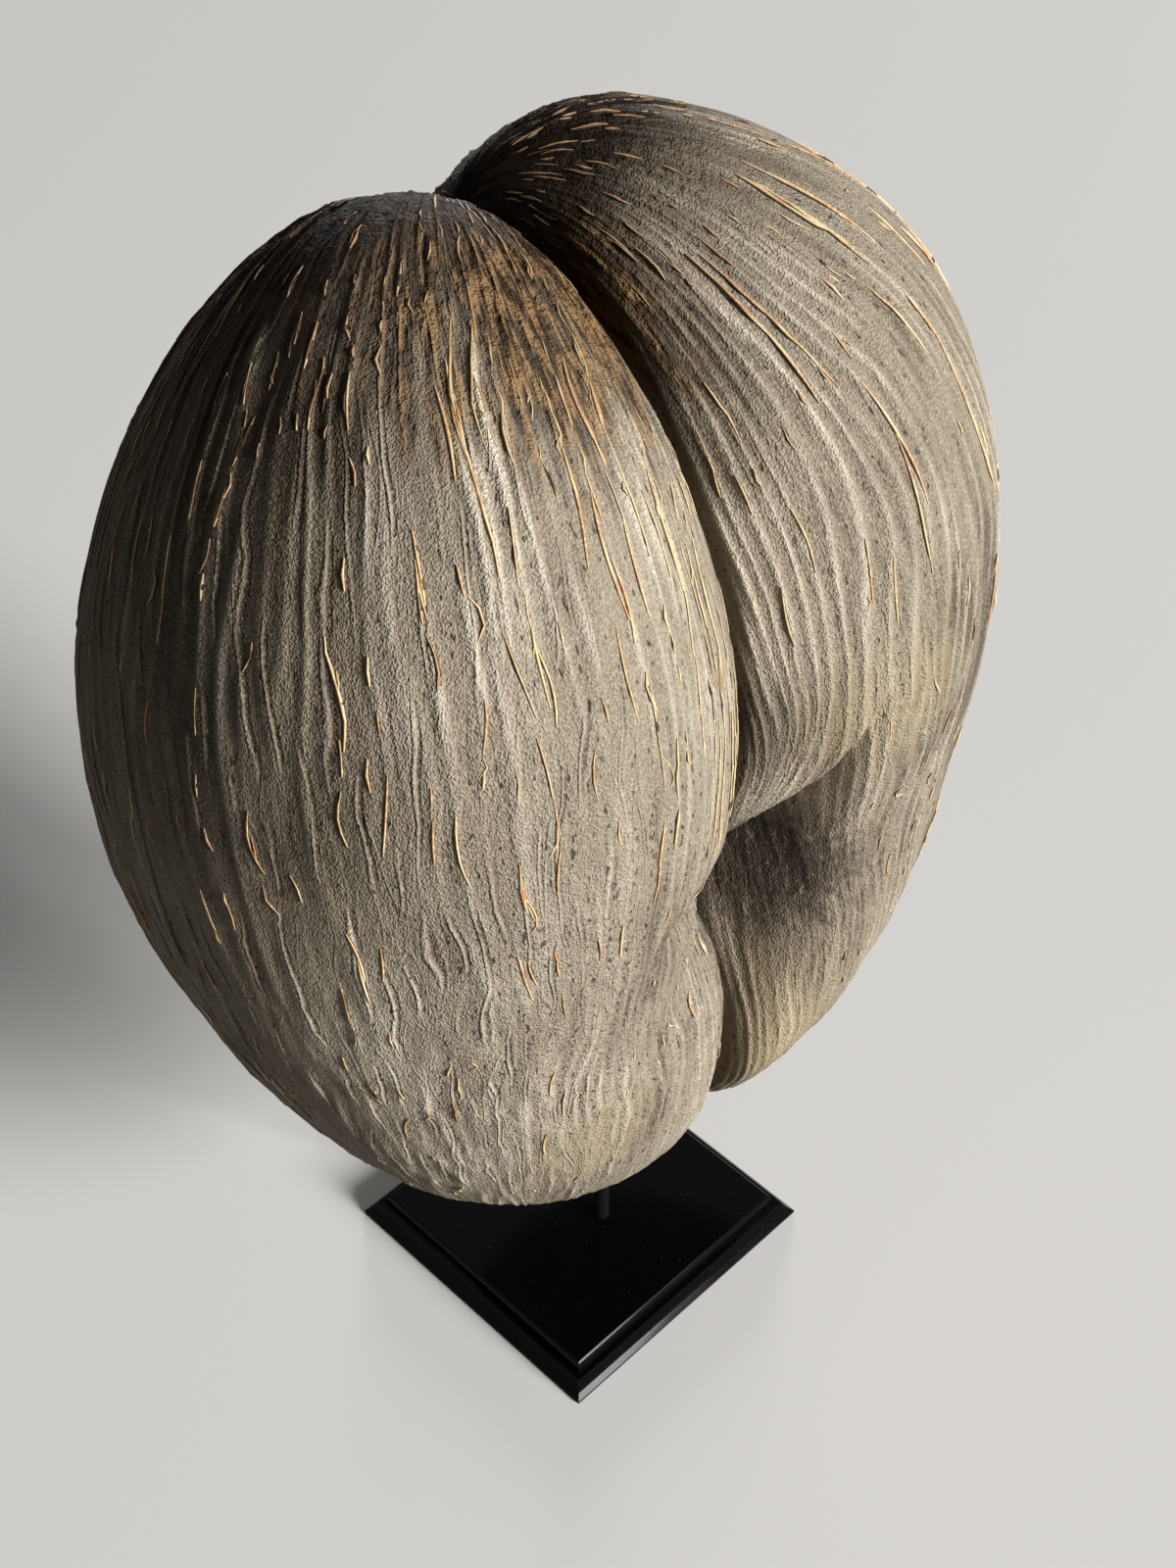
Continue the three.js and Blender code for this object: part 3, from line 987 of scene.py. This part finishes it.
def fibre_paint():
    paint = Paint(bpy.data.materials.new("bare_fibre"))
    place = paint.millimetres()
    tint = paint.noise(paint.scaled(place, (0.11, 0.11, 0.06)), 1.0)
    speck = paint.noise(paint.scaled(place, (1.8, 1.8, 0.6)), 2.0)
    straw = paint.distance(place, STRAW_SPOT).step(50, 30)
    notch_shade = paint.distance(place, NOTCH).step(106, 60)
    colour = paint.mix(tint.step(0.38, 0.62), shade(188, 140, 94), shade(216, 190, 144))
    colour = paint.mix(straw, colour, shade(204, 180, 132))
    colour = paint.mix(speck.step(0.45, 0.7) * 0.6, colour, shade(240, 224, 184))
    # painted shade: fibres near the top notch are darkened, as the light falls off there
    colour = paint.mix(notch_shade * 0.6, colour, shade(130, 99, 68))
    return paint.finish(
        Base_Color=colour,
        Roughness=0.5 + (speck - 0.5) * 0.2,
        Specular_IOR_Level=0.25,
        Normal=paint.bump((speck - 0.5) * 0.08),
    )


# dark beds around the fibres: partly torn skin, and partly a painted shadow along each fibre
def shadow_bed_paint():
    paint = Paint(bpy.data.materials.new("fibre_shadow_bed"))
    speck = paint.noise(paint.scaled(paint.millimetres(), (1.2, 1.2, 0.8)), 2.0)
    return paint.finish(
        Base_Color=paint.mix(speck.step(0.35, 0.7), shade(40, 30, 22), shade(84, 66, 48)),
        Roughness=0.7 + (speck - 0.5) * 0.2,
        Specular_IOR_Level=0.2,
    )


def lacquer_paint():
    """Polished black lacquer with faint smears and a little dust."""
    paint = Paint(bpy.data.materials.new("plate_lacquer"))
    place = paint.millimetres()
    smears = paint.noise(paint.scaled(place, (0.04, 0.04, 0.04)), 3.0)
    dust = paint.noise(paint.scaled(place, (1.5, 1.5, 1.5)), 1.0).step(0.76, 0.84)
    return paint.finish(
        Base_Color=paint.mix(dust * 0.5, shade(6, 6, 7), shade(120, 120, 118)),
        Roughness=0.06 + smears * 0.08 + dust * 0.4,
        Specular_IOR_Level=0.06,
        Normal=paint.bump((smears - 0.5) * 0.01),
    )


def rod_paint():
    """Satin black paint on steel, with a fine orange-peel grain."""
    paint = Paint(bpy.data.materials.new("rod_steel"))
    orange_peel = paint.noise(paint.scaled(paint.millimetres(), (0.9, 0.9, 0.9)), 2.0)
    return paint.finish(
        Base_Color=paint.mix(orange_peel, shade(14, 14, 15), shade(24, 24, 25)),
        Roughness=0.28 + orange_peel * 0.12,
        Metallic=0.2,
        Normal=paint.bump((orange_peel - 0.5) * 0.03),
    )


def dress(piece, material):
    piece.data.materials.clear()
    piece.data.materials.append(material)


# ------------------------------------------------------------------ stage

# The camera looks at the stand from in front of the left lobe. Metres, degrees and a lens in
# millimetres.
CAMERA_DISTANCE_AHEAD = 0.4287  # along the table, from below the camera to the stand
CAMERA_HEIGHT = 0.604
CAMERA_TILT = 43.64
CAMERA_TURN = -45
CAMERA_SIDESTEP = 0.0028
CAMERA_LENS = 50.6

# An azimuth of 0 is in front of the cleft and 90 is on the right lobe's side.
LAMPS = dict(
    key=dict(azimuth=15, elevation=20, distance=12, size=3.8, power=2950),
    fill=dict(azimuth=132, elevation=6, distance=8, size=2.0, power=460),
)

FLOOR_RADIUS = 1.7
FLOOR_SEEN = shade(226, 224, 221)
FLOOR_IN_LIGHT = shade(146, 144, 141)  # what it throws back on the nut
BACKDROP = shade(206, 205, 203)
SKY = (1.0, 0.98, 0.95, 1)
SKY_STRENGTH = 0.03


def make_camera():
    data = bpy.data.cameras.new("camera")
    data.lens = CAMERA_LENS
    camera = bpy.data.objects.new("camera", data)
    bpy.context.scene.collection.objects.link(camera)
    turn = Matrix.Rotation(math.radians(CAMERA_TURN), 3, "Z")
    place = turn @ Vector((CAMERA_SIDESTEP, -CAMERA_DISTANCE_AHEAD, 0))
    camera.location = (place.x, place.y, CAMERA_HEIGHT)
    tilt = math.radians(90 - CAMERA_TILT)
    camera.rotation_euler = (tilt, 0, math.radians(CAMERA_TURN))
    bpy.context.scene.camera = camera


def make_lamp(name, azimuth, elevation, distance, size, power):
    """A soft square lamp that faces the nut."""
    data = bpy.data.lights.new(name, "AREA")
    data.size = size
    data.energy = power
    lamp = bpy.data.objects.new(name, data)
    bpy.context.scene.collection.objects.link(lamp)
    low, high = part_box("nut")
    target = (Vector(low) + Vector(high)) / 2
    turn, lift = math.radians(azimuth), math.radians(elevation)
    away = Vector(
        (
            math.sin(turn) * math.cos(lift),
            -math.cos(turn) * math.cos(lift),
            math.sin(lift),
        )
    )
    lamp.location = target + away * distance
    lamp.rotation_euler = away.to_track_quat("Z", "Y").to_euler()


def make_floor():
    """A pale round table top, which throws back less light than it shows."""
    bm = bmesh.new()
    bmesh.ops.create_circle(bm, cap_ends=True, segments=180, radius=FLOOR_RADIUS)
    floor = finished_piece("floor", bm, smooth=False)
    paint = Paint(bpy.data.materials.new("floor"))
    colour = paint.mix(paint.seen(), FLOOR_IN_LIGHT, FLOOR_SEEN)
    dress(floor, paint.finish(Base_Color=colour, Roughness=0.9, Specular_IOR_Level=0.0))


def make_sky():
    """A faint even light from all round, seen as a pale backdrop."""
    paint = Paint(bpy.data.worlds.new("studio"))
    light = paint.tree.nodes["Background"]
    paint.put(light.inputs["Color"], SKY)
    paint.put(light.inputs["Strength"], SKY_STRENGTH)
    backdrop = paint.node("Background", None, {"Color": BACKDROP})
    values = {0: paint.seen(), 1: Wire(paint, light.outputs[0]), 2: backdrop}
    choice = paint.node("MixShader", None, values)
    paint.put(paint.tree.nodes["World Output"].inputs["Surface"], choice)
    bpy.context.scene.world = paint.owner


# ------------------------------------------------------------------ put together

bpy.context.scene.view_settings.view_transform = "Standard"
make_camera()
make_sky()
for name, lamp in LAMPS.items():
    make_lamp(name, **lamp)
make_floor()

nut = make_nut()
dress(nut, husk_paint())
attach(nut, "root")
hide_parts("nut")

beds, strands = make_fibres(nut)
for piece, material in ((beds, shadow_bed_paint()), (strands, fibre_paint())):
    dress(piece, material)
    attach(piece, "root")

dress(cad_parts["stand_plate"], lacquer_paint())
dress(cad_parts["stand_rod"], rod_paint())
